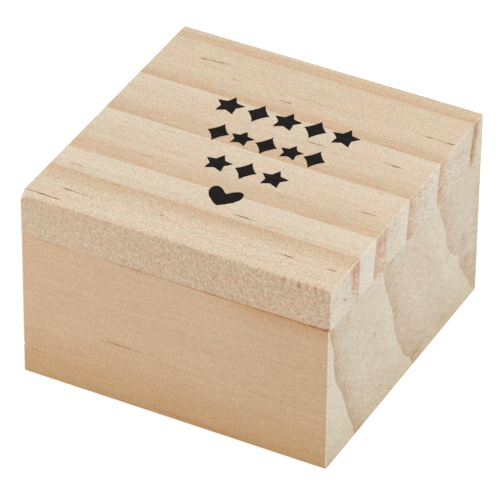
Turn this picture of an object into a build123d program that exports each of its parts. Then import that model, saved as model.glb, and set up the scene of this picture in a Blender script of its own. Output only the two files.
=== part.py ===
# A square pine keepsake box for milk teeth. A routed block is the body. The lid is a board
# glued up from two strips, which swivels on a screw hidden in the back left corner. Two magnets
# in the corner across from it hold it shut.
# Millimetres, +Z up, grain along X, front at -Y. The origin is the middle of the base.

import os

from build123d import *

# Outside of the box
width = 70.0  # along the grain
depth = 70.0  # across the grain
body_height = 34.8
lid_thickness = 10.0
front_strip_width = 12.2  # from the lid's front to the glue line

# Sanded corners and arrises
body_arris = 0.45  # upright corners and foot of the body
lid_arris = 0.35  # upright corners and top edges of the lid
seam_ease = 0.12  # bevel on each side of the seam
lid_side_proud = 0.4  # the lid's front right corner stands past the body's side
lid_front_proud = 0.15  # and past its front

# The lid's front left corner is rubbed down at the top
rubbed_back = 2.2  # along the left edge
rubbed_across = 1.3  # along the front edge
rubbed_down = 1.8

# A splinter is gone from the body's front left arris, and its groove runs out along the left side
chip_height = 6.8  # above the base, at its deepest
chip_depth = 0.45
chip_rise = 1.6
chip_fall = 0.4
chip_length = 6.5

# The well routed into the body
wall_thickness = 9.0
floor_thickness = 7.0
well_corner_radius = 13.0
well_floor_radius = 2.0
mouth_arris = 0.5

# Pivot screw, a cross-head machine screw that turns with the lid
pivot_inset = 8.5  # from the outside faces to the screw's axis
screw_diameter = 4.0
screw_engagement = 4.1  # thread held in the insert, so the screw is 35 long under its head
screw_tip_bevel = 0.5
head_diameter = 8.0
head_height = 2.7
head_crown = 1.1  # radius that rounds the head's rim
recess_span = 4.4  # across the cross recess
recess_slot = 1.0
recess_depth = 1.7
recess_taper = 8.0  # degrees
running_clearance = 0.1  # radial, screw in body and washer

# Washer under the screw's head
washer_diameter = 9.0
washer_thickness = 0.8

# Stepped bore in the body for the screw
counterbore_diameter = 10.0
head_sunk = 1.2  # the head stays this far above the base

# Threaded brass insert in the lid
insert_diameter = 7.0
insert_length = 7.4
insert_neck = 0.35  # depth of the grooves between the barbs
insert_barb_count = 4
insert_collar = 1.2  # plain length at the mouth
thread_clearance = 0.02

# Closing magnets
magnet_diameter = 6.0
magnet_thickness = 2.5
magnet_bevel = 0.3
magnet_sunk = 0.1  # below the wood it is glued into
glue_gap = 0.05  # radial

# Edges of the box, and sizes that follow from the ones above
left_x = -width / 2
right_x = width / 2
front_y = -depth / 2
back_y = depth / 2
total_height = body_height + lid_thickness
glue_y = front_y + front_strip_width
well_width = width - 2 * wall_thickness
well_depth = depth - 2 * wall_thickness
well_drop = body_height - floor_thickness
head_seat = head_sunk + head_height
screw_length = body_height - head_seat + screw_engagement
counterbore_depth = head_seat + washer_thickness
bore_radius = screw_diameter / 2 + running_clearance
magnet_pocket_depth = magnet_thickness + magnet_sunk
magnet_pocket_radius = magnet_diameter / 2 + glue_gap
insert_rim = insert_diameter / 2
insert_root = insert_rim - insert_neck
barb_pitch = (insert_length - insert_collar) / insert_barb_count

# The pivot stands in the back left corner and the magnets in the front right one
pivot_x = left_x + pivot_inset
pivot_y = back_y - pivot_inset
magnet_x = right_x - pivot_inset
magnet_y = front_y + pivot_inset

# The plane that the rubbed corner is cut to, and the one that the chip's section lies in
rubbed_plane = Plane(
    origin=(left_x, front_y + rubbed_back, total_height),
    z_dir=(1 / rubbed_across, 1 / rubbed_back, -1 / rubbed_down),
)
chip_plane = Plane(
    origin=(left_x, front_y, chip_height),
    x_dir=(0, 0, 1),
    z_dir=(-chip_depth, chip_length, 0),
)

# Planes at the seam, seen from above and from below, and at the glue line
seam_plane = Plane.XY.offset(body_height)
glue_plane = Plane(origin=(left_x, glue_y, body_height), z_dir=(0, 1, 0))
head_plane = Plane(origin=(pivot_x, pivot_y, head_seat))
pivot_from_below = Plane(origin=(pivot_x, pivot_y, 0), z_dir=(0, 0, -1))
insert_from_below = Plane(origin=(pivot_x, pivot_y, body_height), z_dir=(0, 0, -1))
insert_section_plane = Plane(
    origin=(pivot_x, pivot_y, body_height), x_dir=(1, 0, 0), z_dir=(0, -1, 0)
)
magnet_from_above = Plane(origin=(magnet_x, magnet_y, body_height))
magnet_from_below = Plane(origin=(magnet_x, magnet_y, body_height), z_dir=(0, 0, -1))

# Body: a solid block with a routed well, the pivot's stepped bore and a magnet pocket
with BuildPart() as box_body:
    with BuildSketch():
        Rectangle(width, depth)
    extrude(amount=body_height)
    fillet(box_body.edges().filter_by(Axis.Z), radius=body_arris)
    fillet(box_body.faces().sort_by(Axis.Z)[0].edges(), radius=body_arris)
    chamfer(box_body.faces().sort_by(Axis.Z)[-1].edges(), length=seam_ease)
    with BuildSketch(chip_plane):
        with BuildLine():
            Polyline((chip_rise, 0), (0, chip_depth), (-chip_fall, 0), close=True)
        make_face()
    extrude(amount=chip_length, both=True, mode=Mode.SUBTRACT)
    with BuildSketch(seam_plane):
        RectangleRounded(well_width, well_depth, well_corner_radius)
    extrude(amount=-well_drop, mode=Mode.SUBTRACT)
    well_floor = box_body.faces().filter_by(Plane.XY).sort_by(Axis.Z)[1]
    fillet(well_floor.edges(), radius=well_floor_radius)
    well_mouth = box_body.faces().sort_by(Axis.Z)[-1].inner_wires()[0]
    fillet(well_mouth.edges(), radius=mouth_arris)
    with Locations(pivot_from_below):
        CounterBoreHole(bore_radius, counterbore_diameter / 2, counterbore_depth)
    with Locations(magnet_from_above):
        Hole(magnet_pocket_radius, depth=magnet_pocket_depth)

# The whole lid, as it leaves the sander, with blind bores for the insert and its magnet
with BuildPart() as whole_lid:
    with BuildSketch(seam_plane):
        with BuildLine():
            Polyline(
                (left_x, front_y),
                (right_x + lid_side_proud, front_y - lid_front_proud),
                (right_x, back_y),
                (left_x, back_y),
                close=True,
            )
        make_face()
    extrude(amount=lid_thickness)
    split(bisect_by=rubbed_plane, keep=Keep.TOP)
    upright_edges = whole_lid.edges().filter_by(Axis.Z)
    top_edges = whole_lid.faces().sort_by(Axis.Z)[-1].edges()
    rubbed_edges = whole_lid.faces().filter_by(rubbed_plane)[0].edges()
    fillet(set(upright_edges + top_edges + rubbed_edges), radius=lid_arris)
    chamfer(whole_lid.faces().sort_by(Axis.Z)[0].edges(), length=seam_ease)
    with Locations(insert_from_below):
        Hole(insert_diameter / 2, depth=insert_length)
    with Locations(magnet_from_below):
        Hole(magnet_pocket_radius, depth=magnet_pocket_depth)

# Its two strips, on either side of the glue line
with BuildPart() as lid_board:
    add(whole_lid.part)
    split(bisect_by=glue_plane, keep=Keep.TOP)

with BuildPart() as lid_front_strip:
    add(whole_lid.part)
    split(bisect_by=glue_plane, keep=Keep.BOTTOM)

# Pivot screw: rounded pan head with a cross recess, round shank up into the insert
with BuildPart() as pivot_screw:
    with BuildSketch(head_plane):
        Circle(screw_diameter / 2)
    extrude(amount=screw_length)
    chamfer(pivot_screw.faces().sort_by(Axis.Z)[-1].edges(), length=screw_tip_bevel)
    with BuildSketch(head_plane):
        Circle(head_diameter / 2)
    extrude(amount=-head_height)
    fillet(pivot_screw.faces().sort_by(Axis.Z)[0].edges(), radius=head_crown)
    with BuildSketch(pivot_from_below.offset(-head_sunk)):
        Rectangle(recess_span, recess_slot)
        Rectangle(recess_slot, recess_span)
    extrude(amount=-recess_depth, taper=recess_taper, mode=Mode.SUBTRACT)

# Washer between the screw's head and the counterbore's floor
with BuildPart() as pivot_washer:
    with BuildSketch(head_plane):
        Circle(washer_diameter / 2)
        Circle(bore_radius, mode=Mode.SUBTRACT)
    extrude(amount=washer_thickness)

# Insert: barbed outside, threaded bore drawn at the screw's own size
insert_section = [(0, 0), (insert_rim, 0)]
for barb in range(insert_barb_count):
    barb_foot = insert_collar + barb * barb_pitch
    insert_section += [(insert_rim, barb_foot), (insert_root, barb_foot)]
insert_section += [(insert_root, insert_length), (0, insert_length)]
with BuildPart() as lid_insert:
    with BuildSketch(insert_section_plane):
        with BuildLine():
            Polyline(*insert_section, close=True)
        make_face()
    revolve(axis=Axis(insert_section_plane.origin, insert_section_plane.y_dir))
    with Locations(insert_from_below):
        Hole(screw_diameter / 2 + thread_clearance)

# Magnets: one in the body, one in the lid above it
with BuildPart() as body_magnet:
    with BuildSketch(magnet_from_above.offset(-magnet_sunk)):
        Circle(magnet_diameter / 2)
    extrude(amount=-magnet_thickness)
    chamfer(body_magnet.edges().filter_by(GeomType.CIRCLE), length=magnet_bevel)

with BuildPart() as lid_magnet:
    with BuildSketch(magnet_from_above.offset(magnet_sunk)):
        Circle(magnet_diameter / 2)
    extrude(amount=magnet_thickness)
    chamfer(lid_magnet.edges().filter_by(GeomType.CIRCLE), length=magnet_bevel)

pieces = {
    "box_body": box_body,
    "lid_board": lid_board,
    "lid_front_strip": lid_front_strip,
    "pivot_screw": pivot_screw,
    "pivot_washer": pivot_washer,
    "lid_insert": lid_insert,
    "body_magnet": body_magnet,
    "lid_magnet": lid_magnet,
}
os.makedirs("parts", exist_ok=True)
for name, piece in pieces.items():
    piece.part.label = name
    export_step(piece.part, f"parts/{name}.step")
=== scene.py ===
import math

import bpy
import numpy as np
from mathutils import Matrix, Vector


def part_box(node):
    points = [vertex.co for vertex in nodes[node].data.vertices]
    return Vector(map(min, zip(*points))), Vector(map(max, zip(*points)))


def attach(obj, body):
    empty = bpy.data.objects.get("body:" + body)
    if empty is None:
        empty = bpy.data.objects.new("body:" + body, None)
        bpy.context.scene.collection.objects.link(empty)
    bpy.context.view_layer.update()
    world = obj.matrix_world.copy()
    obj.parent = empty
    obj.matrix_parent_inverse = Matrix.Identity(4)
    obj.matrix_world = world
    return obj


# Pine keepsake box, closed, seen from above its front right corner.
# Shapes and patterns are worked out in millimetres and put into the meshes in metres.

mm = 0.001
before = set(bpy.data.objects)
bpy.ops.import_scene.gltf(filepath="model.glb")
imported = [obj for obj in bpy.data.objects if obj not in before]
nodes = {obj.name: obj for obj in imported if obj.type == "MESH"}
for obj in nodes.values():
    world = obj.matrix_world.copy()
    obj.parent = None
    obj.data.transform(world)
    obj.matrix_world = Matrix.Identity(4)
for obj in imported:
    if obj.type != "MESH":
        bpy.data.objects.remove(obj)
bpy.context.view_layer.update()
blockLow, blockHigh = (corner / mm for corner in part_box("box_body"))
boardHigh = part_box("lid_board")[1] / mm
seamHeight = blockHigh.z
topHeight = boardHigh.z
print("frame loaded:", len(nodes), "nodes, box", [round(x, 1) for x in boardHigh - blockLow], "mm")


# Small helpers for shader nodes

def feed(tree, socket, value):
    # links a socket to the input, or sets the input's own value
    if isinstance(value, bpy.types.NodeSocket):
        tree.links.new(value, socket)
    elif value is not None:
        socket.default_value = value


def calc(tree, operation, *values, clamp=False):
    # one Math node
    node = tree.nodes.new("ShaderNodeMath")
    node.operation = operation
    node.use_clamp = clamp
    for socket, value in zip(node.inputs, values):
        feed(tree, socket, value)
    return node.outputs[0]


def times(tree, first, second):
    # their product
    return calc(tree, "MULTIPLY", first, second)


def vectorCalc(tree, operation, *values):
    # one Vector Math node; SCALE takes its number last
    node = tree.nodes.new("ShaderNodeVectorMath")
    node.operation = operation
    if operation == "SCALE":
        feed(tree, node.inputs[0], values[0])
        feed(tree, node.inputs["Scale"], values[1])
    else:
        for socket, value in zip(node.inputs, values):
            feed(tree, socket, value)
    return node.outputs["Value" if operation in ("LENGTH", "DOT_PRODUCT") else "Vector"]


def splitVector(tree, vector):
    # its x, y and z
    node = tree.nodes.new("ShaderNodeSeparateXYZ")
    feed(tree, node.inputs[0], vector)
    return node.outputs


def addUp(tree, values):
    # the sum of a list, first to last
    total = values[0]
    for value in values[1:]:
        total = calc(tree, "ADD", total, value)
    return total


def hypotenuse(tree, first, second):
    # the root of the sum of two squares
    squares = [times(tree, side, side) for side in (first, second)]
    return calc(tree, "SQRT", addUp(tree, squares))


def spread(tree, value, low, high, toLow=0, toHigh=1, smooth=True):
    # value from low..high to toLow..toHigh, held at both ends
    node = tree.nodes.new("ShaderNodeMapRange")
    node.interpolation_type = "SMOOTHSTEP" if smooth else "LINEAR"
    for label, number in (("Value", value), ("From Min", low), ("From Max", high),
                          ("To Min", toLow), ("To Max", toHigh)):
        feed(tree, node.inputs[label], number)
    return node.outputs["Result"]


def blendColours(tree, factor, first, second, kind="MIX"):
    # one Mix node on colours, which are its inputs 6 and 7 and its output 2
    node = tree.nodes.new("ShaderNodeMix")
    node.data_type = "RGBA"
    node.blend_type = kind
    node.clamp_factor = True
    feed(tree, node.inputs[0], factor)
    feed(tree, node.inputs[6], first)
    feed(tree, node.inputs[7], second)
    return node.outputs[2]


def noise(tree, vector, scale, detail=2, roughness=0.5, distortion=0, seed=0):
    # 4-D noise, where the fourth number is the seed
    node = tree.nodes.new("ShaderNodeTexNoise")
    node.noise_dimensions = "4D"
    for label, number in (("Vector", vector), ("W", seed), ("Scale", scale), ("Detail", detail),
                          ("Roughness", roughness), ("Distortion", distortion)):
        feed(tree, node.inputs[label], number)
    return node.outputs[0]


def swing(tree, vector, scale, **settings):
    # noise less its middle, so that it swings both ways about 0
    return calc(tree, "SUBTRACT", noise(tree, vector, scale, **settings), 0.5)


def drawnOut(tree, place, along, across=1, up=1):
    # a place times a share each way, which draws a pattern out where the share is small
    return vectorCalc(tree, "MULTIPLY", place, (along, across, up))


def ramp(tree, value, stops):
    # one Color Ramp; stops are (place, (red, green, blue) on screen)
    node = tree.nodes.new("ShaderNodeValToRGB")
    feed(tree, node.inputs[0], value)
    elements = node.color_ramp.elements
    while len(elements) > 1:
        elements.remove(elements[0])
    elements[0].position = stops[0][0]
    elements[0].color = colour(*stops[0][1])
    for place, tint in stops[1:]:
        elements.new(place).color = colour(*tint)
    return node.outputs[0]


def colour(red, green, blue):
    # 0 to 255 on screen, turned by the sRGB curve into the linear colour that nodes take
    def linear(level):
        share = level / 255
        return share / 12.92 if share <= 0.04045 else ((share + 0.055) / 1.055) ** 2.4
    return (linear(red), linear(green), linear(blue), 1)


def newGroup(name, inputs, outputs):
    # a node group, with how many numbers each socket holds: 1, or 3 for a vector; inputs start at 0
    kinds = {1: "NodeSocketFloat", 3: "NodeSocketVector"}
    group = bpy.data.node_groups.new(name, "ShaderNodeTree")
    for sockets, way in ((inputs, "INPUT"), (outputs, "OUTPUT")):
        for label, size in sockets.items():
            group.interface.new_socket(name=label, in_out=way, socket_type=kinds[size])
    enter = group.nodes.new("NodeGroupInput")
    leave = group.nodes.new("NodeGroupOutput")
    return group, enter.outputs, leave.inputs


def useGroup(tree, group, values):
    # one copy of a node group with its own values
    node = tree.nodes.new("ShaderNodeGroup")
    node.node_tree = group
    for label, value in values.items():
        feed(tree, node.inputs[label], value)
    return node.outputs


# Node groups shared by the wooden pieces. Limits are what spread takes: from low and high, and where
# there are four, to low and high.

placeValues = {"endGrain": (0.45, 0.75), "arris": (0.1, 0.55)}  # how far the normal leans that way


def makePlaceGroup(values):
    # object coordinates in mm; how far the face looks along the grain, and up or down; and how rounded
    # it is there, which is the middle one of the normal's three sizes
    group, enter, leave = newGroup("placeInMillimetres", {},
                                   {"Place": 3, "End Grain": 1, "Level": 1, "Arris": 1})
    coordinate = group.nodes.new("ShaderNodeTexCoord")
    feed(group, leave["Place"], vectorCalc(group, "SCALE", coordinate.outputs["Object"], 1 / mm))
    along, across, up = splitVector(group, vectorCalc(group, "ABSOLUTE", coordinate.outputs["Normal"]))
    largest = calc(group, "MAXIMUM", calc(group, "MAXIMUM", along, across), up)
    smallest = calc(group, "MINIMUM", calc(group, "MINIMUM", along, across), up)
    twoSmaller = calc(group, "SUBTRACT", addUp(group, [along, across, up]), largest)
    middle = calc(group, "SUBTRACT", twoSmaller, smallest)
    feed(group, leave["End Grain"], spread(group, along, *values["endGrain"]))
    feed(group, leave["Level"], up)
    feed(group, leave["Arris"], spread(group, middle, *values["arris"]))
    return group


wanderValues = {
    "slow": (0.3, 0.08, 1), "quick": (0.12, 0.5, 2),  # (share along the grain, scale, detail)
    "quickShare": 0.35,
    "reach": 4,  # mm
}


def makeDistanceGroup(values):
    # distance from the pith line, which runs along the grain, plus slow and quick wandering
    group, enter, leave = newGroup(
        "distanceFromPith", {"Place": 3, "Pith Y": 1, "Pith Z": 1, "Wander": 1, "Seed": 1},
        {"Distance": 1})
    parts = splitVector(group, enter["Place"])
    across = calc(group, "SUBTRACT", parts[1], enter["Pith Y"])
    rise = calc(group, "SUBTRACT", parts[2], enter["Pith Z"])
    slow, quick = (
        swing(group, drawnOut(group, enter["Place"], share), scale, detail=detail, seed=enter["Seed"])
        for share, scale, detail in (values["slow"], values["quick"]))
    both = calc(group, "ADD", slow, times(group, quick, values["quickShare"]))
    shift = times(group, both, enter["Wander"])
    radius = hypotenuse(group, across, rise)
    feed(group, leave["Distance"], calc(group, "MULTIPLY_ADD", shift, values["reach"], radius))
    return group


ringSoftness = 0.13  # mm, on both sides of a ring's edge


def makeRingGroup(softness):
    # tone of one year's growth between two radii: from Early to Middle over the first Rise mm,
    # then on to Late over the last Band mm, as the share of the band to the power Curve; 0 outside
    labels = ("Distance", "Inner", "Outer", "Early", "Middle", "Late", "Rise", "Band", "Curve")
    group, enter, leave = newGroup("growthRing", dict.fromkeys(labels, 1), {"Tone": 1})

    def past(edge):
        low, high = (calc(group, way, edge, softness) for way in ("SUBTRACT", "ADD"))
        return spread(group, enter["Distance"], low, high)

    inside = calc(group, "SUBTRACT", past(enter["Inner"]), past(enter["Outer"]))
    risen = calc(group, "ADD", enter["Inner"], enter["Rise"])
    firstPart = spread(group, enter["Distance"], enter["Inner"], risen)
    bandStart = calc(group, "SUBTRACT", enter["Outer"], enter["Band"])
    bandShare = spread(group, enter["Distance"], bandStart, enter["Outer"], smooth=False)
    lastPart = calc(group, "POWER", bandShare, enter["Curve"])
    firstStep = calc(group, "SUBTRACT", enter["Middle"], enter["Early"])
    lastStep = calc(group, "SUBTRACT", enter["Late"], enter["Middle"])
    tone = calc(group, "MULTIPLY_ADD", firstPart, firstStep, enter["Early"])
    tone = calc(group, "MULTIPLY_ADD", lastPart, lastStep, tone)
    feed(group, leave["Tone"], times(group, inside, tone))
    return group


fibreValues = {
    # (share along the grain, scale, detail, roughness) of each layer
    "layers": {
        "Broad": (0.03, 0.8, 3, 0.6), "Fine": (0.06, 1.7, 3, 0.65), "Fuzz": (0.45, 2.2, 2, 0.75),
        "Grit": (0.8, 4, 1, 0.6), "Blush": (0.5, 0.5, 1, 0.5), "Canals": (0.12, 1.7, 1, 0.5),
        "Flecks": (0.16, 2, 2, 0.6)},
    "limits": {"Canals": (0.17, 0.26), "Flecks": (0.04, 0.2)},  # of the peaks that show as marks
    "lean": (0.35, 0, -0.94),  # the way that the stipple's strokes run
    "squeeze": 0.7,
    "strokes": {"scale": 4.8, "detail": 2, "roughness": 0.6},
}


def makeFibreGroup(values):
    # fibres drawn out along the grain, long streaks on the faces and specks on the ends, and
    # a stipple of short strokes: the place less its part along the lean, times the squeeze
    group, enter, leave = newGroup("pineFibres", {"Place": 3, "Seed": 1},
                                   dict.fromkeys([*values["layers"], "Stipple"], 1))
    for label, (share, scale, detail, roughness) in values["layers"].items():
        layer = swing(group, drawnOut(group, enter["Place"], share), scale, detail=detail,
                      roughness=roughness, seed=enter["Seed"])
        if label in values["limits"]:
            layer = spread(group, layer, *values["limits"][label])
        feed(group, leave[label], layer)
    lean = values["lean"]
    along = vectorCalc(group, "DOT_PRODUCT", enter["Place"], lean)
    pulled = vectorCalc(group, "SCALE", lean, times(group, along, values["squeeze"]))
    where = vectorCalc(group, "SUBTRACT", enter["Place"], pulled)
    feed(group, leave["Stipple"], swing(group, where, seed=enter["Seed"], **values["strokes"]))
    return group


frayValues = {"ragged": (0.35, 1.1), "breaks": (0.6, 1.2), "thinned": (0.34, 0.58, 0.4, 1)}


def makeFrayGroup(values):
    # noise that marks share: Ragged moves their outlines, and Breaks thins them here and there
    # along the grain; each is given by its (share along the grain, scale)
    group, enter, leave = newGroup("frayedMarks", {"Place": 3}, {"Ragged": 1, "Breaks": 1})
    share, scale = values["ragged"]
    feed(group, leave["Ragged"], swing(group, drawnOut(group, enter["Place"], share), scale))
    share, scale = values["breaks"]
    breaks = noise(group, drawnOut(group, enter["Place"], share), scale)
    feed(group, leave["Breaks"], spread(group, breaks, *values["thinned"]))
    return group


markFade = (0.1, 1, 1, 0)  # full up to a tenth of a mark's half size, and none from its edge


def makeMarkGroup(fade):
    # a soft spindle or patch round Centre, which fades with the offset over half the Size;
    # Tilt is the climb per mm along the grain, and Shift moves the outline across it
    group, enter, leave = newGroup(
        "woodMark", {"Place": 3, "Centre": 3, "Size": 3, "Tilt": 3, "Shift": 1, "Strength": 1},
        {"Mask": 1})
    offset = vectorCalc(group, "SUBTRACT", enter["Place"], enter["Centre"])
    lean = vectorCalc(group, "SCALE", enter["Tilt"], splitVector(group, offset)[0])
    fraying = group.nodes.new("ShaderNodeCombineXYZ")
    for socket in fraying.inputs[1:]:
        feed(group, socket, enter["Shift"])
    offset = vectorCalc(group, "SUBTRACT", offset, lean)
    offset = vectorCalc(group, "SUBTRACT", offset, fraying.outputs[0])
    share = vectorCalc(group, "DIVIDE", offset, vectorCalc(group, "SCALE", enter["Size"], 0.5))
    mask = spread(group, vectorCalc(group, "LENGTH", share), *fade)
    feed(group, leave["Mask"], times(group, mask, enter["Strength"]))
    return group


sandingValues = {
    # (fall to the back in degrees, share along the lines, scale, added to the seed)
    "Scratches": (36, 0.05, 2.5, 3), "Dashes": (3, 0.14, 2.6, 8),
    "depth": 0.05, "roughness": 0.6,  # share along the grain, and noise roughness, of both
    "dashLimits": (0.03, 0.2),
    "mottle": {"scale": 0.5, "detail": 3},
}


def makeSandingGroup(values):
    # the sander's marks on the ends: long lines falling to the back, short level dashes, and a mottle
    group, enter, leave = newGroup("sandingMarks", {"Place": 3, "Seed": 1},
                                   {"Scratches": 1, "Dashes": 1, "Mottle": 1})

    def lines(fall, share, scale, added):
        mapping = group.nodes.new("ShaderNodeMapping")
        feed(group, mapping.inputs["Vector"], enter["Place"])
        mapping.inputs["Rotation"].default_value = (math.radians(fall), 0, 0)
        where = drawnOut(group, mapping.outputs[0], values["depth"], share)
        seed = calc(group, "ADD", enter["Seed"], added)
        return swing(group, where, scale, roughness=values["roughness"], seed=seed)

    feed(group, leave["Scratches"], lines(*values["Scratches"]))
    feed(group, leave["Dashes"], spread(group, lines(*values["Dashes"]), *values["dashLimits"]))
    feed(group, leave["Mottle"], swing(group, enter["Place"], **values["mottle"]))
    return group


rubValues = {"perMillimetre": 2.6, "perRadian": 2.2, "detail": 3}


def makeRubGroup(values):
    # fine arcs round the pivot's axis, where the lid turns on the body: noise over radius and turn
    group, enter, leave = newGroup("swivelRub", {"Place": 3, "Pivot": 3}, {"Arcs": 1})
    offset = vectorCalc(group, "SUBTRACT", enter["Place"], enter["Pivot"])
    across, deep = splitVector(group, offset)[:2]
    radius = hypotenuse(group, across, deep)
    turn = calc(group, "ARCTAN2", deep, across)
    where = group.nodes.new("ShaderNodeCombineXYZ")
    feed(group, where.inputs[0], times(group, radius, values["perMillimetre"]))
    feed(group, where.inputs[1], times(group, turn, values["perRadian"]))
    feed(group, leave["Arcs"], swing(group, where.outputs[0], 1, detail=values["detail"]))
    return group


cutterValues = {
    "squareness": 4,  # power that makes the passes rounded squares
    "reach": (29, 30, 1, 0),  # how far from the middle the marks go
    "foot": (3, 4),  # height that they start from
    "floorBand": (0.3, 1.2),  # above the well's floor
    "spacing": 2.4, "lineWidth": 0.35,
    "wobble": 0.7, "wobbleNoise": {"scale": 0.4, "detail": 1},
    "chatterHeight": 0.05, "chatterScale": 2.6,
}


def makeCutterGroup(values):
    # router marks in the well: steps between passes on the floor, fine upright chatter on the walls
    group, enter, leave = newGroup("routerMarks", {"Place": 3, "Floor": 1},
                                   {"Passes": 1, "Chatter": 1})
    across, deep, rise = splitVector(group, enter["Place"])
    powers = [calc(group, "POWER", calc(group, "ABSOLUTE", side), values["squareness"])
              for side in (across, deep)]
    ringway = calc(group, "POWER", addUp(group, powers), 1 / values["squareness"])
    aboveFoot = spread(group, rise, *values["foot"])
    inside = times(group, spread(group, ringway, *values["reach"]), aboveFoot)
    low, high = (calc(group, "ADD", enter["Floor"], above) for above in values["floorBand"])
    onFloor = spread(group, rise, low, high, 1, 0)
    wobble = noise(group, enter["Place"], **values["wobbleNoise"])
    passes = calc(group, "MULTIPLY_ADD", wobble, values["wobble"], ringway)
    passes = calc(group, "PINGPONG", passes, values["spacing"])
    passes = times(group, spread(group, passes, 0, values["lineWidth"], 1, 0), onFloor)
    upright = drawnOut(group, enter["Place"], 1, 1, values["chatterHeight"])
    onWalls = calc(group, "SUBTRACT", 1, onFloor)
    chatter = times(group, swing(group, upright, values["chatterScale"]), onWalls)
    feed(group, leave["Passes"], times(group, passes, inside))
    feed(group, leave["Chatter"], times(group, chatter, inside))
    return group


placeGroup = makePlaceGroup(placeValues)
distanceGroup = makeDistanceGroup(wanderValues)
ringGroup = makeRingGroup(ringSoftness)
fibreGroup = makeFibreGroup(fibreValues)
frayGroup = makeFrayGroup(frayValues)
markGroup = makeMarkGroup(markFade)
sandingGroup = makeSandingGroup(sandingValues)
rubGroup = makeRubGroup(rubValues)
cutterGroup = makeCutterGroup(cutterValues)
print("shader groups made")


# The wood of each piece, in mm. The pith is given by its y and z. Each ring, from the pith outwards,
# is (outer radius, its change per mm along the grain, early, middle and late tone, rise, band, curve).
# Tone 0 is the palest wood and 1 the latewood. Bulges are (y, z, wide, high, how far the rings swell).
# Stipple, fuzz, fine, grit and blush are the strengths of those layers of fibres. Marks, from resin to
# tan, are listed under the function that puts them on their face and says what their numbers are.

pivotInset = 8.5  # from the block's left and back faces to the axis that the lid turns on
pivot = (blockLow.x + pivotInset, blockHigh.y - pivotInset, seamHeight)
wellFloor = 7
frontFace = blockLow.y
backFace = blockHigh.y
leftFace = blockLow.x
rightFace = blockHigh.x
markDepths = {"top": 1.6, "side": 3, "end": 6}  # how deep a mark goes on both sides of the face


def onTop(x, y, length, width, strength, climb=0):
    # a streak on the lid's top; climb is its slope to the back
    return (x, y, topHeight), (length, width, markDepths["top"]), strength, (0, climb, 0)


def onFront(x, z, length, height, strength, climb=0, face=frontFace):
    # a streak or patch on the front
    return (x, face, z), (length, markDepths["side"], height), strength, (0, 0, climb)


def paintedSeamShadow(x, above, length, height, strength):
    # a painted shadow line on the front, placed by its height above the seam: the shade of the gap
    # between lid and body and of the lid's overhang, in the colour of the kind of mark it is listed
    # under
    return onFront(x, seamHeight + above, length, height, strength)


def onBack(*mark):
    # the same on the back
    return onFront(*mark, face=backFace)


def onEnd(y, z, wide, high, strength, face=rightFace):
    # a spot or patch on the right end
    return (face, y, z), (markDepths["end"], wide, high), strength, (0, 0, 0)


def onLeft(*mark):
    # the same on the left end
    return onEnd(*mark, face=leftFace)


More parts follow.
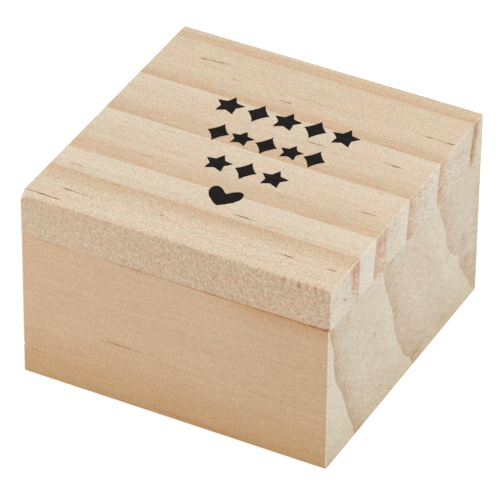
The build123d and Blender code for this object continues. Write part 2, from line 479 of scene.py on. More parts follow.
blockWood = {
    "pith": (116.45, 72.39), "innermost": 84.8, "wander": 0.45, "seed": 2,
    "stipple": 0.44, "fuzz": 0.3, "fine": -0.32, "grit": 0.76, "blush": 0.3,
    "rings": [
        (108.8, 0, 0.3, 0.35, 1, 8, 8, 1.8), (133.05, 0, 0, 0.4, 1.05, 9, 8, 1.6),
        (155.75, 0, 0.1, 0.35, 1.3, 9, 8, 2.1), (169.8, 0, -0.05, 0.1, 1.1, 6, 8.5, 1.5)],
    "bulges": [
        (-31, 21.5, 13, 19, -1.5), (-25, 9, 12, 16, -0.4), (-3.5, 12, 14, 26, -1.6),
        (0.8, 6, 7, 8, -1.1), (20.6, 20.2, 16, 13, -1.25), (24.8, 14.7, 5, 5, 1.25),
        (32.5, 2.5, 7, 7, -0.9), (-21.5, 1, 7, 7, -0.7)],
    "long": [
        (0, (222, 197, 168)), (0.25, (219, 191, 157)), (0.5, (215, 183, 140)),
        (0.75, (206, 161, 113)), (1, (190, 130, 85))],
    "end": [
        (0, (220, 210, 192)), (0.25, (212, 197, 178)), (0.5, (203, 184, 160)),
        (0.75, (192, 166, 137)), (1, (176, 142, 112))],
    "arris": colour(222, 201, 172),
    "resin": {
        onEnd: [
            (-14, 20.5, 1.3, 1.2, 0.75), (-11, 5.3, 1.4, 0.9, 0.6), (-13.5, 18.6, 0.9, 0.8, 0.3),
            (-7, 31.6, 0.8, 0.7, 0.4)],
        onBack: [(21, 22.6, 7, 0.6, 0.7, -0.02), (-14, 9.4, 4, 0.6, 0.6)],
        onLeft: [(9, 24, 1.3, 1.1, 0.6), (-17, 8, 1, 0.9, 0.5)],
        # painted shadow along the seam, in the resin colour
        paintedSeamShadow: [(33, -0.1, 13, 0.6, 0.6), (22, -0.1, 14, 0.5, 0.3)]},
    "gum": {
        onFront: [
            (-12.5, 14.4, 24, 1, 0.3, 0.02), (-11.6, 14.45, 9, 0.8, 0.4, 0.03),
            (-8, 19.1, 8, 0.6, 0.16, 0.01), (-31, 6.3, 12, 0.6, 0.36), (-2, 1.2, 17, 0.7, 0.35),
            (-9, 0.7, 10, 0.5, 0.3), (4, 9.9, 9, 0.6, 0.14), (24, 10.8, 16, 0.5, 0.1),
            (27, 23.3, 10, 0.6, 0.14), (22, 13.6, 14, 0.6, 0.14)],
        onBack: [(10, 21, 26, 0.8, 0.3, -0.02), (-18, 12, 18, 0.6, 0.2)],
        # painted shadow along the seam, in the gum colour
        paintedSeamShadow: [(36, -0.1, 20, 0.7, 0.9), (2, -0.1, 44, 0.6, 0.3)]},
    # all the amber on the body is painted shadow along the seam
    "amber": {paintedSeamShadow: [
        (36, -0.1, 30, 0.8, 1), (20, -0.1, 44, 0.8, 0.65), (5, -0.1, 24, 0.7, 0.6),
        (-9.5, -0.1, 15, 0.7, 0.75), (-28, -0.1, 26, 0.6, 0.35)]},
    "stain": {
        # painted shadow along the seam and under the lid's overhang
        paintedSeamShadow: [(24, -0.8, 44, 7.5, 0.32), (20, -0.3, 22, 2.4, 0.18), (31, -0.4, 14, 3, 0.18)],
        # the last two on the front are painted shade, darker and warmer towards the foot
        onFront: [(38, 24, 70, 60, 0.12), (0, 4, 160, 30, 0.09), (16, 0.8, 56, 3.2, 0.3)],
        onEnd: [(-34.8, 33.6, 5, 7, 0.12)]},
    "tan": {onEnd: [
        (-26.7, 32.8, 3.5, 5, 0.65), (-7.8, 34.3, 6, 2.2, 0.6), (17.5, 34, 6, 2, 0.6),
        (-31, 22, 3, 12, 0.3), (20, 18, 4, 6, 0.4), (6, 3, 7, 4, 0.5), (18, 3.2, 7, 4.5, 0.4),
        (28, 17, 5, 7, 0.5), (33.5, 20, 5, 34, 0.3), (29, 11, 6, 5, 0.45), (34, 9, 3.5, 7, 0.4),
        (-27.5, 15, 2.5, 8, 0.35), (-20.8, 1, 3, 3.4, 0.4)]},
    "foot": (14, (0.93, 0.89, 0.79, 1)),  # painted shade: how high the wood is darkened towards the foot, and the tint there
}

boardWood = {
    "pith": (65.07, 33.08), "innermost": 20, "wander": 0.2, "seed": 5,
    "stipple": 0.8, "fuzz": 0.14, "fine": -0.15, "grit": 0.9, "blush": 0.8,
    "rings": [
        (36.05, 0.006, 0.2, 0.35, 1.05, 3, 3.4, 0.7), (51.6, 0.01, 0.45, 0.42, 1.15, 4, 4.8, 1.5),
        (66, 0.003, 0.12, 0.36, 0.97, 7, 5.8, 0.75), (81.25, -0.006, 0.03, 0.36, 0.9, 8, 6, 0.75),
        (93, 0, -0.12, 0.1, 1, 6, 8, 1.5)],
    "bulges": [],
    "long": [
        (0, (223, 209, 187)), (0.125, (220, 203, 179)), (0.25, (216, 196, 169)),
        (0.375, (212, 188, 159)), (0.5, (210, 181, 150)), (0.75, (200, 158, 122)),
        (1, (182, 128, 92))],
    "end": [
        (0, (225, 216, 200)), (0.125, (219, 209, 193)), (0.25, (215, 202, 186)),
        (0.375, (210, 187, 163)), (0.5, (205, 174, 148)), (0.75, (192, 148, 118)),
        (1, (172, 124, 98))],
    "arris": colour(219, 199, 174),
    "resin": {
        onTop: [
            (-22.9, 25.9, 11, 0.5, 0.65, 0.09), (-25.4, 25.6, 3.4, 0.62, 0.78),
            (-21.4, 26, 2.2, 0.56, 0.65), (-15.6, 21.8, 4.6, 0.56, 0.65),
            (-2.7, 19.4, 4.6, 0.62, 1.04), (-4.8, 21.3, 1.1, 0.62, 1.17), (31, 21.8, 9, 0.56, 0.78),
            (29.2, 21.8, 3.6, 0.56, 0.78), (34, 21.8, 3, 0.62, 1.17), (-1, 10.3, 5, 0.5, 0.52),
            (9.3, 8.7, 9, 0.56, 0.78), (27.6, 9.2, 4, 0.62, 1.04), (30, -8.2, 5.6, 0.56, 0.91),
            (-18.7, -11.5, 5, 0.56, 0.65), (-29.8, -20.9, 4.6, 0.62, 0.65),
            (8.4, -21.2, 5.6, 0.62, 0.98), (16.2, -21.4, 5, 0.5, 0.52), (12.6, -11.2, 4, 0.45, 0.39),
            (-24, 13.6, 5, 0.45, 0.33)],
        onEnd: [(31.2, 42.8, 1.1, 4.2, 0.6), (30.5, 40, 1.1, 4.6, 0.6), (29.7, 37.2, 1, 4.2, 0.7)]},
    "gum": {
        onTop: [
            (9.5, 8.7, 13, 0.5, 0.4), (26.4, 9.3, 6, 0.6, 0.5), (29, 21.8, 11, 0.5, 0.4),
            (9, -21.2, 9, 0.6, 0.6), (30, -8.2, 8, 0.5, 0.4), (-2, 19.5, 9, 0.5, 0.3),
            (-22, 26, 15, 0.5, 0.35, 0.07), (-8, -9.4, 12, 0.5, 0.22), (22, -14.8, 16, 0.5, 0.2),
            (-14, 5, 14, 0.5, 0.2), (20, 34.5, 44, 0.5, 0.28)],
        onEnd: [(-13.9, 41.6, 1, 8, 0.35)],
        onBack: [(-8, 40.6, 14, 0.6, 0.3)]},
    "amber": {},
    "stain": {},
    "tan": {
        onEnd: [
            (31.8, 42.8, 3.6, 8, 0.35), (30.8, 40.2, 3.2, 6, 0.25), (30.3, 37.3, 3.2, 7, 0.4),
            (7.4, 41, 3.6, 14, 0.18), (-11.2, 40, 2.2, 14, 0.22), (-13.4, 43, 1.6, 6, 0.3)],
        # painted light: a warmer, darker tone over the lid's back, standing in for the warm front
        # lamp's light
        onBack: [(0, 38.5, 160, 13, 0.5)]},
    "foot": None,
}

stripWood = {
    "pith": (-70, 35.6), "innermost": 20, "wander": 0.15, "seed": 9,
    "stipple": 1.5, "fuzz": 0.14, "fine": -0.15, "grit": 0.9, "blush": 0.75,
    "rings": [(48.2, 0, 0.08, 0.27, 1.15, 8, 8, 2.1)],
    "bulges": [],
    "long": boardWood["long"],
    "end": boardWood["end"],
    "arris": colour(223, 203, 180),
    "resin": {
        onEnd: [(-28.6, 41.6, 1.1, 1.1, 0.8), (-29, 38.8, 1.1, 1.2, 0.8), (-32.7, 41.5, 1, 1, 0.5)],
        onTop: [
            (-33.2, -33.1, 5, 0.62, 1), (-25, -29.4, 8, 0.5, 0.65), (-27.2, -29.4, 3.6, 0.62, 1.04),
            (22.4, -28.8, 4.6, 0.62, 1.1), (32.1, -28.9, 3.4, 0.62, 1.2),
            (-6.1, -28.2, 1.1, 0.62, 0.91), (-29.8, -33.2, 9, 0.5, 0.78),
            (-31.6, -33.2, 4.6, 0.62, 1.17), (-27.6, -33.3, 2.4, 0.56, 0.78),
            (2, -30.6, 5, 0.45, 0.33)]},
    "gum": {
        onTop: [
            (-30.5, -33.3, 13, 0.5, 0.7), (-24.5, -29.5, 12, 0.5, 0.35), (21, -28.8, 6, 0.5, 0.35),
            (6, -31.6, 12, 0.5, 0.15)],
        onFront: [
            (24.8, 44, 1, 3, 0.5), (26.6, 44.2, 0.9, 2.4, 0.4), (28.2, 43.8, 1.1, 3.6, 0.55),
            (30, 44, 1, 3, 0.45), (31.8, 43.9, 1, 3.4, 0.5), (33.4, 44.1, 0.9, 2.8, 0.4)],
        # painted shadow along the seam, in the gum colour
        paintedSeamShadow: [(36, 0.1, 16, 0.6, 0.8)],
        onEnd: [(-23.1, 42.4, 1, 8.5, 0.5)]},
    "amber": {
        # painted shadow along the seam, in the amber colour
        paintedSeamShadow: [
            (34.5, 0.05, 26, 0.6, 0.8), (18, 0.05, 44, 0.5, 0.5), (34.9, 0.5, 2.4, 1.3, 0.5),
            (-9.5, 0.05, 14, 0.5, 0.4)],
        onFront: [(34.6, 40.5, 0.9, 10, 0.22)]},
    "stain": {onFront: [(10, 40, 120, 24, 0.13)]},
    "tan": {onEnd: [(-25.3, 41.6, 3.8, 12, 0.5), (-28.8, 40, 3.4, 16, 0.2)]},
    "foot": None,
}


def newMaterial(name, specular, metallic=0):
    # a Principled material with its plain values
    material = bpy.data.materials.new(name)
    material.use_nodes = True
    shader = next(node for node in material.node_tree.nodes if node.type == "BSDF_PRINCIPLED")
    shader.inputs["Specular IOR Level"].default_value = specular
    shader.inputs["Metallic"].default_value = metallic
    return material, material.node_tree, shader


def addBump(tree, shader, height, strength, distance):
    # one Bump node into the shader's Normal; distance is in mm
    bump = tree.nodes.new("ShaderNodeBump")
    bump.inputs["Strength"].default_value = strength
    bump.inputs["Distance"].default_value = distance * mm
    feed(tree, bump.inputs["Height"], height)
    feed(tree, shader.inputs["Normal"], bump.outputs[0])


def sumOfMarks(tree, place, marks, ragged, fray):
    # adds up the masks of the marks on every face, whose outlines move by the ragged noise times fray
    shift = times(tree, ragged, fray)
    placed = [onFace(*mark) for onFace, group in marks.items() for mark in group]
    return addUp(tree, [
        useGroup(tree, markGroup, {"Place": place, "Centre": centre, "Size": size, "Tilt": tilt,
                                   "Shift": shift, "Strength": strength})["Mask"]
        for centre, size, strength, tilt in placed])


bulgeLength = 400  # along the grain, so that a bulge runs right through the piece


def ringTone(tree, place, wood):
    # tone of the rings: distance from the pith, plus the bulges, through one ring group for each year
    distance = useGroup(tree, distanceGroup, {
        "Place": place, "Pith Y": wood["pith"][0], "Pith Z": wood["pith"][1],
        "Wander": wood["wander"], "Seed": wood["seed"]})["Distance"]
    bulges = [useGroup(tree, markGroup, {"Place": place, "Centre": (0, y, z), "Strength": swell,
                                         "Size": (bulgeLength, wide, high)})["Mask"]
              for y, z, wide, high, swell in wood["bulges"]]
    distance = addUp(tree, [distance, *bulges])
    along = splitVector(tree, place)[0]
    tones, inner = [], wood["innermost"]
    for radius, slope, early, middle, late, rise, band, curve in wood["rings"]:
        outer = calc(tree, "MULTIPLY_ADD", along, slope, radius)
        tones.append(useGroup(tree, ringGroup, {
            "Distance": distance, "Inner": inner, "Outer": outer, "Early": early, "Middle": middle,
            "Late": late, "Rise": rise, "Band": band, "Curve": curve})["Tone"])
        inner = outer
    return addUp(tree, tones)


markColours = {
    "resin": colour(136, 86, 58), "gum": colour(162, 92, 50), "amber": colour(200, 122, 24),
    "stain": colour(206, 152, 92), "canal": colour(176, 134, 102), "fleck": colour(212, 154, 116),
    # edge is the pale colour of the painted highlight on upright arrises
    "edge": colour(242, 228, 208), "rubbed": colour(186, 152, 118), "scorched": colour(150, 108, 74)}
pineValues = {
    "specular": 0.25,
    # of each layer in the tone
    "shares": {"Broad": 0.55, "Fine": 0.45, "Scratches": 1.15, "Mottle": 0.6, "Dashes": 1},
    "dashesByTone": (0.1, 0.9, 0.13, 0.85),
    "canalsByLevel": (0.4, 0.9, 0.06, 0.3),
    "flecksByTone": (0.35, 1, 0.05, 0.48),
    "tanFray": 2.5,  # mm
    # how far each kind's outlines fray in mm, its greatest strength, and whether breaks thin it
    "marks": {"stain": (1.2, 1, False), "amber": (0.4, 0.92, True), "gum": (0.4, 0.92, True),
              "resin": (0.4, 0.92, True)},
    "wornByBroad": (-0.2, 0.15, 0.25, 0.6),
    "uprightHighlightByLevel": (0.15, 0.45, 0.9, 0),  # painted highlight: upright arrises are the palest
    "footShadeShare": 0.8,
    "footContactShadow": (0.5, 1.3, 0.6, 0),  # painted contact shadow on the arris that the box stands on
    "rubByLevel": (0.9, 0.99),
    "rubByGap": (0.05, 0.15, 1, 0),
    "rubByArcs": (0.02, 0.2, 0, 0.6),
    "scorch": {"Passes": 0.2, "Chatter": 0.7},
    "onEnds": {"stipple": 0.4, "grit": 1.35},  # strength there against that on the faces
    "grainTint": (0.79, 1, 1.21),  # how much of the light and dark grain each colour takes
    "blushLimits": (-0.22, 0.22),
    "blushes": ((0.965, 1.024, 1.022, 1), (1.035, 0.976, 0.978, 1)),  # the tint wanders between
    "roughness": (-0.2, 0.2, 0.68, 0.82),
    "relief": {"Stipple": 0.3, "Scratches": 0.8, "Router": 1.5},  # heights against fine and fuzz
    "bump": (0.2, 0.08),
}


def pineTone(tree, place, endGrain, wood, fibres, sanding, frayed, values):
    # tone of the rings and tan patches, plus each layer times its share; sanding shows on the ends
    tone = ringTone(tree, place, wood)
    if wood["tan"]:
        tan = sumOfMarks(tree, place, wood["tan"], frayed["Ragged"], values["tanFray"])
        tone = calc(tree, "ADD", tone, tan)
    dashes = times(tree, sanding["Dashes"], spread(tree, tone, *values["dashesByTone"]))
    for label in ("Broad", "Fine"):
        tone = calc(tree, "MULTIPLY_ADD", fibres[label], values["shares"][label], tone)
    for label, layer in (("Scratches", sanding["Scratches"]), ("Mottle", sanding["Mottle"]),
                         ("Dashes", dashes)):
        onEnds = times(tree, layer, endGrain)
        tone = calc(tree, "MULTIPLY_ADD", onEnds, values["shares"][label], tone)
    return tone


def pineColour(tree, tone, level, endGrain, wood, fibres, values):
    # a ramp over half the tone for the faces and one for the ends, then resin canals, which show most
    # on level faces, and flecks in the latewood of the faces
    half = calc(tree, "MULTIPLY", tone, 0.5, clamp=True)
    onFaces, onEnds = (ramp(tree, half, wood[stops]) for stops in ("long", "end"))
    wooden = blendColours(tree, endGrain, onFaces, onEnds)
    canals = times(tree, fibres["Canals"], spread(tree, level, *values["canalsByLevel"]))
    wooden = blendColours(tree, canals, wooden, markColours["canal"])
    flecks = times(tree, fibres["Flecks"], spread(tree, tone, *values["flecksByTone"]))
    flecks = times(tree, flecks, calc(tree, "SUBTRACT", 1, endGrain))
    return blendColours(tree, flecks, wooden, markColours["fleck"])


def addMarks(tree, wooden, place, wood, frayed, values):
    # blends in each kind of mark by the sum of its masks, among them the painted shadow along the seam
    for kind, (fray, strongest, broken) in values["marks"].items():
        if not wood[kind]:
            continue
        marks = sumOfMarks(tree, place, wood[kind], frayed["Ragged"], fray)
        marks = calc(tree, "MINIMUM", marks, strongest)
        if broken:
            marks = times(tree, marks, frayed["Breaks"])
        wooden = blendColours(tree, marks, wooden, markColours[kind])
    return wooden


def addWearHighlightAndShade(tree, wooden, place, level, arris, wood, broad, values):
    # worn paler arrises with a painted highlight on the upright ones, painted shade that darkens the
    # foot with a painted contact shadow on the arris it stands on, arcs where lid and body turn on
    # each other, and scorched router marks in the well; also gives the router's marks for the relief
    height = splitVector(tree, place)[2]
    worn = times(tree, arris, spread(tree, broad, *values["wornByBroad"]))
    wooden = blendColours(tree, worn, wooden, wood["arris"])
    # painted highlight on the upright arrises, in the pale edge colour
    pale = times(tree, arris, spread(tree, level, *values["uprightHighlightByLevel"]))
    wooden = blendColours(tree, pale, wooden, markColours["edge"])
    # painted shade: darker and warmer towards the foot, and a painted contact shadow on the arris it
    # stands on
    if wood["foot"]:
        shadedHeight, tint = wood["foot"]
        low = calc(tree, "MULTIPLY_ADD", spread(tree, height, 0, shadedHeight, 1, 0),
                   values["footShadeShare"], spread(tree, height, *values["footContactShadow"]))
        wooden = blendColours(tree, low, wooden, tint, "MULTIPLY")
    arcs = useGroup(tree, rubGroup, {"Place": place, "Pivot": pivot})["Arcs"]
    gap = calc(tree, "ABSOLUTE", calc(tree, "SUBTRACT", height, seamHeight))
    flat = spread(tree, level, *values["rubByLevel"])
    atSeam = times(tree, flat, spread(tree, gap, *values["rubByGap"]))
    rubbed = times(tree, spread(tree, arcs, *values["rubByArcs"]), atSeam)
    wooden = blendColours(tree, rubbed, wooden, markColours["rubbed"])
    router = useGroup(tree, cutterGroup, {"Place": place, "Floor": wellFloor})
    scorch = values["scorch"]
    chatter = times(tree, router["Chatter"], scorch["Chatter"])
    scorched = calc(tree, "MULTIPLY_ADD", router["Passes"], scorch["Passes"], chatter, clamp=True)
    return blendColours(tree, scorched, wooden, markColours["scorched"]), router


def addGrain(tree, wooden, endGrain, wood, fibres, values):
    # wandering tint and fine light and dark grain over everything, with a stipple that is fainter
    # and a grit that is stronger on the ends: colour times (1 + grain times its tint)
    layers = {}
    for label, onEnds in values["onEnds"].items():
        strength = spread(tree, endGrain, 0, 1, wood[label], onEnds * wood[label], smooth=False)
        layers[label] = times(tree, fibres[label.capitalize()], strength)
    grain = calc(tree, "MULTIPLY_ADD", fibres["Fuzz"], wood["fuzz"], layers["stipple"])
    grain = calc(tree, "MULTIPLY_ADD", fibres["Fine"], wood["fine"], grain)
    grain = calc(tree, "ADD", grain, layers["grit"])
    brightness = vectorCalc(tree, "SCALE", values["grainTint"], grain)
    brightness = vectorCalc(tree, "ADD", brightness, (1, 1, 1))
    wandering = spread(tree, fibres["Blush"], *values["blushLimits"])
    tint = blendColours(tree, wandering, *values["blushes"])
    wooden = blendColours(tree, wood["blush"], wooden, tint, "MULTIPLY")
    return vectorCalc(tree, "MULTIPLY", wooden, brightness)


def pineMaterial(name, wood, values):
    # raw sanded pine: growth rings, fibres, marks with the painted shadow along the seam, wear with a
    # painted highlight and painted shade at the foot, and grain, with the same layers as relief
    material, tree, shader = newMaterial(name, values["specular"])
    where = useGroup(tree, placeGroup, {})
    place, endGrain, level = where["Place"], where["End Grain"], where["Level"]
    fibres = useGroup(tree, fibreGroup, {"Place": place, "Seed": wood["seed"]})
    sanding = useGroup(tree, sandingGroup, {"Place": place, "Seed": wood["seed"]})
    frayed = useGroup(tree, frayGroup, {"Place": place})
    tone = pineTone(tree, place, endGrain, wood, fibres, sanding, frayed, values)
    wooden = pineColour(tree, tone, level, endGrain, wood, fibres, values)
    wooden = addMarks(tree, wooden, place, wood, frayed, values)
    wooden, router = addWearHighlightAndShade(tree, wooden, place, level, where["Arris"], wood, fibres["Broad"], values)
    wooden = addGrain(tree, wooden, endGrain, wood, fibres, values)
    feed(tree, shader.inputs["Base Color"], wooden)
    feed(tree, shader.inputs["Roughness"], spread(tree, fibres["Broad"], *values["roughness"]))
    relief = values["relief"]
    height = calc(tree, "ADD", fibres["Fine"], fibres["Fuzz"])
    scratches = times(tree, sanding["Scratches"], endGrain)
    routed = calc(tree, "ADD", router["Passes"], router["Chatter"])
    for layer, share in ((fibres["Stipple"], relief["Stipple"]), (scratches, relief["Scratches"]),
                         (routed, relief["Router"])):
        height = calc(tree, "MULTIPLY_ADD", layer, share, height)
    addBump(tree, shader, height, *values["bump"])
    return material


def dress(node, material):
    # one material on the whole CAD piece
    mesh = nodes[node].data
    mesh.materials.clear()
    mesh.materials.append(material)


dress("box_body", pineMaterial("pineBlock", blockWood, pineValues))
dress("lid_board", pineMaterial("pineBoard", boardWood, pineValues))
dress("lid_front_strip", pineMaterial("pineStrip", stripWood, pineValues))
print("wood dressed")


# Metal parts, which show from below and when the lid is turned

metalWear = {
    "layers": {
        "Blotches": {"scale": 0.9, "detail": 3, "seed": 1},
        "Scratches": {"scale": 6, "detail": 4, "roughness": 0.8, "distortion": 1.5, "seed": 4},
        "Dirt": {"scale": 2.2, "detail": 2, "seed": 7}},
    "dirtLimits": (0.62, 0.75),
    "blendLimits": (0.35, 0.65),  # of the blotches for the tint, and the scratches for the gloss
    "dirtRoughness": 0.3,
    "bump": (0.25, 0.02),
    "specular": 0.5,
}
metalFinishes = {
    # finish: (pale colour, dark colour, dirt colour, smoothest, roughest, CAD pieces)
    "zincPlate": (colour(206, 209, 212), colour(176, 178, 176), colour(96, 88, 78), 0.26, 0.44,
                  ("pivot_screw", "pivot_washer")),
    "turnedBrass": (colour(222, 186, 120), colour(190, 148, 84), colour(104, 78, 46), 0.2, 0.4,
                    ("lid_insert",)),
    "nickelPlate": (colour(158, 156, 150), colour(122, 119, 112), colour(84, 76, 66), 0.36, 0.54,
                    ("body_magnet", "lid_magnet")),
}


def makeMetalGroup(values):
    # turned or tumbled metal: soft blotches, fine scratches every way and specks of dirt
    group, enter, leave = newGroup("metalWear", {"Place": 3}, dict.fromkeys(values["layers"], 1))
    for label, settings in values["layers"].items():
        layer = noise(group, enter["Place"], **settings)
        if label == "Dirt":
            layer = spread(group, layer, *values["dirtLimits"])
        feed(group, leave[label], layer)
    return group


def metalMaterial(name, pale, dark, dirt, smoothest, roughest, values):
    # bare metal whose tint and gloss wander, with fine scratches in its surface
    material, tree, shader = newMaterial(name, values["specular"], 1)
    place = useGroup(tree, placeGroup, {})["Place"]
    wear = useGroup(tree, metalGroup, {"Place": place})
    tint = blendColours(tree, spread(tree, wear["Blotches"], *values["blendLimits"]), pale, dark)
    feed(tree, shader.inputs["Base Color"], blendColours(tree, wear["Dirt"], tint, dirt))
    gloss = spread(tree, wear["Scratches"], *values["blendLimits"], smoothest, roughest)
    gloss = calc(tree, "MULTIPLY_ADD", wear["Dirt"], values["dirtRoughness"], gloss, clamp=True)
    feed(tree, shader.inputs["Roughness"], gloss)
    addBump(tree, shader, wear["Scratches"], *values["bump"])
    return material


metalGroup = makeMetalGroup(metalWear)
for finish, (*look, pieces) in metalFinishes.items():
    metal = metalMaterial(finish, *look, metalWear)
    for piece in pieces:
        dress(piece, metal)
print("metal dressed")


# The print on the lid: rows of plain ornaments that narrow down to a heart, in thin black ink

outlinePoints = 720  # round each outline, before it is thinned to the segments


def alongLine(corners):
    # evenly spaced points along a closed line of corners
    steps = np.linalg.norm(np.diff(corners, axis=0), axis=1)
    length = np.concatenate([[0], np.cumsum(steps)])
    places = np.linspace(0, length[-1], outlinePoints + 1)
    return np.stack([np.interp(places, length, corners[:, k]) for k in (0, 1)], 1)


def starOutline(size, points, waist):
    # a star's corners lie on two circles in turn, joined by straight lines, with a point to the back
    corner = np.arange(2 * points + 1)
    turns = np.pi / 2 + corner * np.pi / points
    reach = np.where(corner % 2 == 0, 1, waist) * size / 2
    return alongLine(np.stack([reach * np.cos(turns), reach * np.sin(turns)], 1))


def sparkleOutline(size, slimness, power):
    # like an astroid, slimmed from side to side: cosine and sine to a power, with their signs kept
    turn = np.linspace(0, 2 * np.pi, outlinePoints + 1)
    across, up = (np.sign(wave) * np.abs(wave) ** power for wave in (np.cos(turn), np.sin(turn)))
    return np.stack([slimness * across, up], 1) * size / 2


def heartOutline(size, halfWidth, fullness, waves):
    # a sine to a power across, with its sign kept, and a sum of four cosines up, of once to four
    # times the turn
    turn = np.linspace(0, 2 * np.pi, outlinePoints + 1)
    across = halfWidth * np.sign(np.sin(turn)) * np.abs(np.sin(turn)) ** fullness
    up = sum(height * np.cos((k + 1) * turn) for k, height in enumerate(waves))
    up -= (up.max() + up.min()) / 2
    return np.stack([across, up], 1) * size / (2 * halfWidth)


printValues = {
    "star": {"points": 5, "waist": 0.52},
    "sparkle": {"slimness": 0.76, "power": 2.5},
    "heart": {"halfWidth": 16, "fullness": 1.78, "waves": (11.85, -5.41, -2.3, -0.91)},
    "thickness": 0.022,  # of the ink
    "sunk": 0.006,  # of its underside, below the wood's surface
    "lip": 0.3,  # share of the thickness by which its rim is lower
    "shares": (0.35, 0.7, 0.9, 0.985, 1, 1, 0.7, 0.35),  # of the outline, over the film and under
    "turn": 1.3,  # degrees, about the lid's middle
    "softness": {"star": 0.15, "sparkle": 0.15, "heart": 0.3},  # radius that rounds the outlines
    "bleed": 0.03,  # how far the ink creeps
    "creepShares": (1, 0.35),  # of the bleed, along the fibres and across them
    "ripples": (9, 60),  # fewest and most round an outline
    "segments": 144,
    "seed": 11,
}
outlines = {"star": starOutline, "sparkle": sparkleOutline, "heart": heartOutline}
# y of each row, and (motif, size, x) of its ornaments, in mm before the whole print is turned
printRows = {
    "printBackRow": (13, [("star", 6.7, -12.2), ("sparkle", 6.9, -5.5), ("star", 6.7, 1),
                          ("sparkle", 6.9, 7.5), ("star", 6.7, 14.2)]),
    "printMiddleRow": (3.3, [("sparkle", 6.7, -9.9), ("star", 5.6, -4.6), ("sparkle", 6.7, 1),
                             ("star", 5.6, 6.6), ("sparkle", 6.7, 11.9)]),
    "printFrontRow": (-6.7, [("star", 6.4, -5), ("sparkle", 6.7, 1.3), ("star", 6.4, 7.6)]),
    "printHeart": (-17, [("heart", 7.35, 1.3)]),
}


def inkOutline(motif, size, x, y, values, draws):
    # the motif's outline, rounded by a blur along it, and made a little ragged by a sum of sines
    # round it, each with its own count, phase and size; then turned with the whole print
    outline = alongLine(outlines[motif](size, **values[motif]))[:-1]
    length = np.linalg.norm(np.roll(outline, -1, 0) - outline, axis=1).sum()
    waves = np.fft.fftfreq(len(outline), length / len(outline))
    blur = np.exp(-2 * (np.pi * waves * values["softness"][motif]) ** 2)
    soft = np.real(np.fft.ifft(np.fft.fft(outline, axis=0) * blur[:, None], axis=0))
    angle = np.linspace(0, 2 * np.pi, len(soft), endpoint=False)
    counts = np.arange(*values["ripples"])
    phases = draws.uniform(0, 2 * np.pi, len(counts))
    sizes = draws.normal(0, 1, len(counts)) / np.sqrt(counts)
    creep = (sizes[:, None] * np.sin(counts[:, None] * angle + phases[:, None])).sum(0)
    along = np.roll(soft, -1, 0) - np.roll(soft, 1, 0)
    outward = np.stack([along[:, 1], -along[:, 0]], 1)
    outward /= np.linalg.norm(outward, axis=1, keepdims=True)
    ragged = soft + outward * values["creepShares"] * (values["bleed"] * creep)[:, None]
    step = len(ragged) // values["segments"]
    turn = math.radians(values["turn"])
    turning = np.array([[math.cos(turn), math.sin(turn)], [-math.sin(turn), math.cos(turn)]])
    return (ragged[::step] + (x, y)) @ turning, np.array([x, y]) @ turning


def inkFilm(outline, middle, values):
    # a closed film: the outline drawn in towards its middle by shares, at a height for each share
    top, under = values["thickness"], -values["sunk"]
    rim = top - values["lip"] * values["thickness"]
    shares = np.array(values["shares"])
    heights = np.array([top, top, top, top, rim, under, under, under])
    count = len(outline)
    rings = middle + shares[:, None, None] * (outline - middle)
    levels = np.broadcast_to(heights[:, None, None] + topHeight, rings.shape[:2] + (1,))
    points = np.concatenate([rings, levels], 2).reshape(-1, 3)
    poles = np.array([[*middle, topHeight + top], [*middle, topHeight + under]])
    here = np.arange(count)
    after = (here + 1) % count
    starts = np.arange(len(shares) - 1)[:, None] * count
    quads = np.stack([starts + here, starts + count + here, starts + count + after, starts + after], 2)
    firstPole, lastPole = len(points), len(points) + 1
    lastRing = (len(shares) - 1) * count
    caps = np.concatenate([
        np.stack([np.full(count, firstPole), here, after], 1),
        np.stack([np.full(count, lastPole), lastRing + after, lastRing + here], 1)])
    return np.concatenate([points, poles]) * mm, quads.reshape(-1, 4), caps


inkValues = {
    "solid": colour(17, 13, 12), "thin": colour(44, 35, 29),
    "thinLimits": (0, 0.45),
    "roughness": (-0.2, 0.2, 0.78, 0.92),
    "specular": 0.08,
    "bump": (0.3, 0.03),
}


def inkMaterial(name, values):
    # matt black ink on raw wood: fibres show through as faint paler threads
    material, tree, shader = newMaterial(name, values["specular"])
    place = useGroup(tree, placeGroup, {})["Place"]
    fibres = useGroup(tree, fibreGroup, {"Place": place, "Seed": boardWood["seed"]})
    threads = calc(tree, "ADD", fibres["Fine"], fibres["Fuzz"])
    thinned = spread(tree, threads, *values["thinLimits"])
    tint = blendColours(tree, thinned, values["solid"], values["thin"])
    feed(tree, shader.inputs["Base Color"], tint)
    feed(tree, shader.inputs["Roughness"], spread(tree, fibres["Broad"], *values["roughness"]))
    addBump(tree, shader, threads, *values["bump"])
    return material


def showMesh(name, points, faces, material):
    # a new object at the origin with its place in its mesh, in metres
    mesh = bpy.data.meshes.new(name)
    mesh.from_pydata(points, [], faces)
    mesh.materials.append(material)
    shown = bpy.data.objects.new(name, mesh)
    bpy.context.scene.collection.objects.link(shown)
    return shown


def makePrint(name, y, ornaments, values, material, draws):
    # one mesh for a row of ornaments
    points, quads, caps, count = [], [], [], 0
    for motif, size, x in ornaments:
        outline, middle = inkOutline(motif, size, x, y, values, draws)
        newPoints, newQuads, newCaps = inkFilm(outline, middle, values)
        points.append(newPoints)
        quads.append(newQuads + count)
        caps.append(newCaps + count)
        count += len(newPoints)
    faces = np.concatenate(quads).tolist() + np.concatenate(caps).tolist()
    row = showMesh(name, np.concatenate(points).tolist(), faces, material)
    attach(row, "lid")


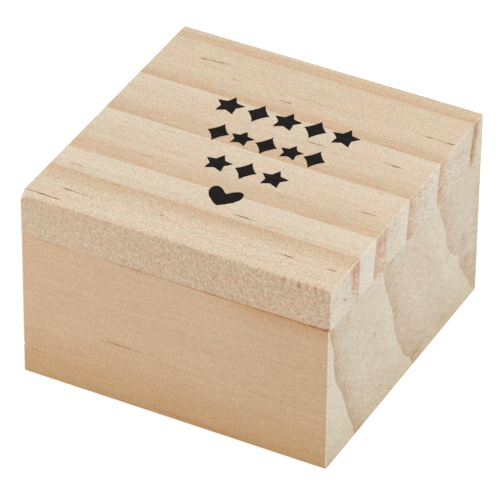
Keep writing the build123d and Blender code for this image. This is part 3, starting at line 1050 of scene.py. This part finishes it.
ink = inkMaterial("blackInk", inkValues)
inkDraws = np.random.default_rng(printValues["seed"])
for rowName, (y, ornaments) in printRows.items():
    makePrint(rowName, y, ornaments, printValues, ink, inkDraws)
print("print made:", sum(len(ornaments) for y, ornaments in printRows.values()), "ornaments")


# Floor, light and camera

def seenRays(tree):
    # 1 for the rays of the camera and of reflections, which show the white background, 0 for others
    path = tree.nodes.new("ShaderNodeLightPath")
    return calc(tree, "ADD", path.outputs["Is Camera Ray"], path.outputs["Is Glossy Ray"], clamp=True)


floorValues = {"size": 6, "drop": 0.02 * mm, "shade": 0.3, "glow": 0.82}


def makeFloor(values):
    # a white floor: a flat sheet just under the foot, matt for the shadow, with a glow that is seen
    material = bpy.data.materials.new("whiteFloor")
    material.use_nodes = True
    tree = material.node_tree
    tree.nodes.clear()
    output = tree.nodes.new("ShaderNodeOutputMaterial")
    matt = tree.nodes.new("ShaderNodeBsdfDiffuse")
    matt.inputs["Color"].default_value = (values["shade"],) * 3 + (1,)
    glow = tree.nodes.new("ShaderNodeEmission")
    feed(tree, glow.inputs["Strength"], times(tree, seenRays(tree), values["glow"]))
    both = tree.nodes.new("ShaderNodeAddShader")
    feed(tree, both.inputs[0], matt.outputs[0])
    feed(tree, both.inputs[1], glow.outputs[0])
    feed(tree, output.inputs["Surface"], both.outputs[0])
    half, drop = values["size"] / 2, -values["drop"]
    corners = [(-half, -half, drop), (half, -half, drop), (half, half, drop), (-half, half, drop)]
    floor = showMesh("floor", corners, [(0, 1, 2, 3)], material)


lightValues = {
    "world": 0.36,
    # name: (place in m, size in m, power in W, colour), each aimed at the box
    "softboxes": {
        "rightKey": ((0.89, 0.05, 0.58), 0.6, 8.5, (1, 1, 1)),
        "frontFill": ((-0.42, -0.62, 0.2), 0.5, 3.93, (1, 0.872, 0.782)),
        "backFill": ((-0.75, 0.75, 0.4), 0.7, 5.8, (1, 0.98, 0.95)),
    },
}


def makeLights(values):
    # an even world, which is seen as white, and large soft lamps aimed at the middle of the box
    world = bpy.data.worlds.new("studio")
    bpy.context.scene.world = world
    world.use_nodes = True
    tree = world.node_tree
    background = tree.nodes["Background"]
    strength = spread(tree, seenRays(tree), 0, 1, values["world"], 1, smooth=False)
    feed(tree, background.inputs["Strength"], strength)
    background.inputs["Color"].default_value = (1, 1, 1, 1)
    middle = Vector((0, 0, 0.5 * topHeight * mm))
    for name, (place, size, power, tint) in values["softboxes"].items():
        lamp = bpy.data.lights.new(name, "AREA")
        lamp.size = size
        lamp.energy = power
        lamp.color = tint
        holder = bpy.data.objects.new(name, lamp)
        holder.location = place
        holder.rotation_euler = (middle - Vector(place)).to_track_quat("-Z", "Y").to_euler()
        bpy.context.scene.collection.objects.link(holder)


# Bearings in degrees and lengths in box widths, fitted to the photographed outline
cameraValues = {"azimuth": 27.2414, "elevation": 35.8149, "roll": 0.6322, "distance": 14.2845,
                "shiftRight": 0.00759, "shiftUp": -0.23578, "focalPixels": 4781.45, "imagePixels": 500,
                "sensor": 36, "nearest": 0.05, "farthest": 20}


def makeCamera(values):
    # looks along the bearing, moved sideways in its own image plane, turned by the roll about its axis
    width = (blockHigh.x - blockLow.x) * mm
    azimuth, elevation, roll = (math.radians(values[k]) for k in ("azimuth", "elevation", "roll"))
    back = Vector((math.sin(azimuth) * math.cos(elevation), -math.cos(azimuth) * math.cos(elevation),
                   math.sin(elevation)))
    right = Vector((math.cos(azimuth), math.sin(azimuth), 0))
    up = back.cross(right)
    turnedRight = math.cos(roll) * right + math.sin(roll) * up
    turnedUp = math.cos(roll) * up - math.sin(roll) * right
    place = width * (back * values["distance"] - turnedRight * values["shiftRight"]
                     - turnedUp * values["shiftUp"])
    data = bpy.data.cameras.new("camera")
    data.sensor_width = values["sensor"]
    data.lens = values["focalPixels"] * values["sensor"] / values["imagePixels"]
    data.clip_start, data.clip_end = values["nearest"], values["farthest"]
    camera = bpy.data.objects.new("camera", data)
    axes = Matrix((turnedRight, turnedUp, back)).transposed().to_4x4()
    camera.matrix_world = Matrix.Translation(place) @ axes
    bpy.context.scene.collection.objects.link(camera)
    bpy.context.scene.camera = camera


makeFloor(floorValues)
makeLights(lightValues)
makeCamera(cameraValues)
bpy.context.scene.view_settings.view_transform = "Standard"
print("floor, light and camera set")
